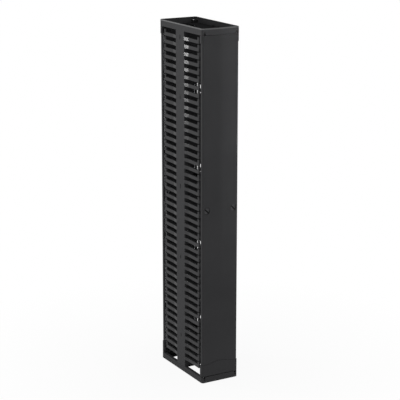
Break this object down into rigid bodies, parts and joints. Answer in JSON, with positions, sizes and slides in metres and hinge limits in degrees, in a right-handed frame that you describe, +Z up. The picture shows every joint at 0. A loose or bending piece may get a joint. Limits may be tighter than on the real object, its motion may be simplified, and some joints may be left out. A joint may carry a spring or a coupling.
{
  "type": "vertical cable manager",
  "caption": "Tall free-standing rack cable manager with front and rear finger channels, a windowed spine and dual-hinged doors that latch with rods and turn knobs.",
  "frame": {"origin": "middle of the footprint on the floor", "axes": "+Z up, +X to the right as seen from the front, +Y to the back; the front door faces -Y"},
  "size_m": [0.246, 0.508, 2.127],
  "materials": {
    "frame_paint": "fine-textured black powder coat",
    "door_paint": "smooth satin black powder coat",
    "finger_plastic": "satin black moulded plastic",
    "moulded_trim": "fine-grained black moulded plastic",
    "zinc_steel": "bright zinc plate",
    "fastener_black": "black zinc plate",
    "nylon": "black nylon"
  },
  "bodies": {
    "frame": {"base_frame": "frame_paint", "top_frame": "frame_paint", "base_plate": "frame_paint", "top_plate": "frame_paint", "left_post": "frame_paint", "right_post": "frame_paint", "front_web": "frame_paint", "rear_web": "frame_paint", "front_left_fingers": "finger_plastic", "front_right_fingers": "finger_plastic", "rear_left_fingers": "finger_plastic", "rear_right_fingers": "finger_plastic", "base_pivot_blocks": "nylon", "top_pivot_blocks": "nylon", "web_screws": "fastener_black", "frame_bolts": "fastener_black"},
    "front_door": {"front_door_panel": "door_paint", "front_door_top_cap": "moulded_trim", "front_door_bottom_cap": "moulded_trim", "front_door_cap_screws": "fastener_black", "front_hinge_cup": "moulded_trim", "front_latch_cup": "moulded_trim", "front_hinge_rod_guides": "nylon", "front_latch_rod_guides": "nylon"},
    "front_hinge_lock": {"front_hinge_knob": "moulded_trim", "front_hinge_cam": "zinc_steel", "front_hinge_cam_screw": "fastener_black"},
    "front_hinge_rod_up": {"front_hinge_upper_rod": "zinc_steel"},
    "front_hinge_rod_down": {"front_hinge_lower_rod": "zinc_steel"},
    "front_latch_lock": {"front_latch_knob": "moulded_trim", "front_latch_cam": "zinc_steel", "front_latch_cam_screw": "fastener_black"},
    "front_latch_rod_up": {"front_latch_upper_rod": "zinc_steel"},
    "front_latch_rod_down": {"front_latch_lower_rod": "zinc_steel"},
    "rear_door": {"rear_door_panel": "door_paint", "rear_door_top_cap": "moulded_trim", "rear_door_bottom_cap": "moulded_trim", "rear_door_cap_screws": "fastener_black", "rear_hinge_cup": "moulded_trim", "rear_latch_cup": "moulded_trim", "rear_hinge_rod_guides": "nylon", "rear_latch_rod_guides": "nylon"},
    "rear_hinge_lock": {"rear_hinge_knob": "moulded_trim", "rear_hinge_cam": "zinc_steel", "rear_hinge_cam_screw": "fastener_black"},
    "rear_hinge_rod_up": {"rear_hinge_upper_rod": "zinc_steel"},
    "rear_hinge_rod_down": {"rear_hinge_lower_rod": "zinc_steel"},
    "rear_latch_lock": {"rear_latch_knob": "moulded_trim", "rear_latch_cam": "zinc_steel", "rear_latch_cam_screw": "fastener_black"},
    "rear_latch_rod_up": {"rear_latch_upper_rod": "zinc_steel"},
    "rear_latch_rod_down": {"rear_latch_lower_rod": "zinc_steel"}
  },
  "joints": [
    {"name": "front_door_hinge", "type": "hinge", "parent": "frame", "child": "front_door", "pos_m": [-0.106, -0.24, 1.064], "axis": [0, 0, -1], "range_deg": [0, 110]},
    {"name": "front_hinge_knob_turn", "type": "hinge", "parent": "front_door", "child": "front_hinge_lock", "pos_m": [-0.0885, -0.24, 1.064], "axis": [0, 1, 0], "range_deg": [0, 90]},
    {"name": "front_hinge_upper_rod_slide", "type": "slide", "parent": "front_door", "child": "front_hinge_rod_up", "axis": [0, 0, -1], "range_m": [0, 0.012]},
    {"name": "front_hinge_lower_rod_slide", "type": "slide", "parent": "front_door", "child": "front_hinge_rod_down", "axis": [0, 0, 1], "range_m": [0, 0.012]},
    {"name": "front_latch_knob_turn", "type": "hinge", "parent": "front_door", "child": "front_latch_lock", "pos_m": [0.0885, -0.24, 1.064], "axis": [0, 1, 0], "range_deg": [0, 90]},
    {"name": "front_latch_upper_rod_slide", "type": "slide", "parent": "front_door", "child": "front_latch_rod_up", "axis": [0, 0, 1], "range_m": [0, 0.012]},
    {"name": "front_latch_lower_rod_slide", "type": "slide", "parent": "front_door", "child": "front_latch_rod_down", "axis": [0, 0, -1], "range_m": [0, 0.012]},
    {"name": "rear_door_hinge", "type": "hinge", "parent": "frame", "child": "rear_door", "pos_m": [0.106, 0.24, 1.064], "axis": [0, 0, -1], "range_deg": [0, 110]},
    {"name": "rear_hinge_knob_turn", "type": "hinge", "parent": "rear_door", "child": "rear_hinge_lock", "pos_m": [0.0885, 0.24, 1.064], "axis": [0, -1, 0], "range_deg": [0, 90]},
    {"name": "rear_hinge_upper_rod_slide", "type": "slide", "parent": "rear_door", "child": "rear_hinge_rod_up", "axis": [0, 0, -1], "range_m": [0, 0.012]},
    {"name": "rear_hinge_lower_rod_slide", "type": "slide", "parent": "rear_door", "child": "rear_hinge_rod_down", "axis": [0, 0, 1], "range_m": [0, 0.012]},
    {"name": "rear_latch_knob_turn", "type": "hinge", "parent": "rear_door", "child": "rear_latch_lock", "pos_m": [-0.0885, 0.24, 1.064], "axis": [0, -1, 0], "range_deg": [0, 90]},
    {"name": "rear_latch_upper_rod_slide", "type": "slide", "parent": "rear_door", "child": "rear_latch_rod_up", "axis": [0, 0, 1], "range_m": [0, 0.012]},
    {"name": "rear_latch_lower_rod_slide", "type": "slide", "parent": "rear_door", "child": "rear_latch_rod_down", "axis": [0, 0, -1], "range_m": [0, 0.012]}
  ],
  "couplings": [
    {"joint": "front_hinge_knob_turn", "follows": "front_hinge_upper_rod_slide", "rad_per_m": 130.9},
    {"joint": "front_hinge_lower_rod_slide", "follows": "front_hinge_upper_rod_slide", "ratio": 1},
    {"joint": "front_latch_knob_turn", "follows": "front_latch_upper_rod_slide", "rad_per_m": 130.9},
    {"joint": "front_latch_lower_rod_slide", "follows": "front_latch_upper_rod_slide", "ratio": 1},
    {"joint": "rear_hinge_knob_turn", "follows": "rear_hinge_upper_rod_slide", "rad_per_m": 130.9},
    {"joint": "rear_hinge_lower_rod_slide", "follows": "rear_hinge_upper_rod_slide", "ratio": 1},
    {"joint": "rear_latch_knob_turn", "follows": "rear_latch_upper_rod_slide", "rad_per_m": 130.9},
    {"joint": "rear_latch_lower_rod_slide", "follows": "rear_latch_upper_rod_slide", "ratio": 1}
  ]
}
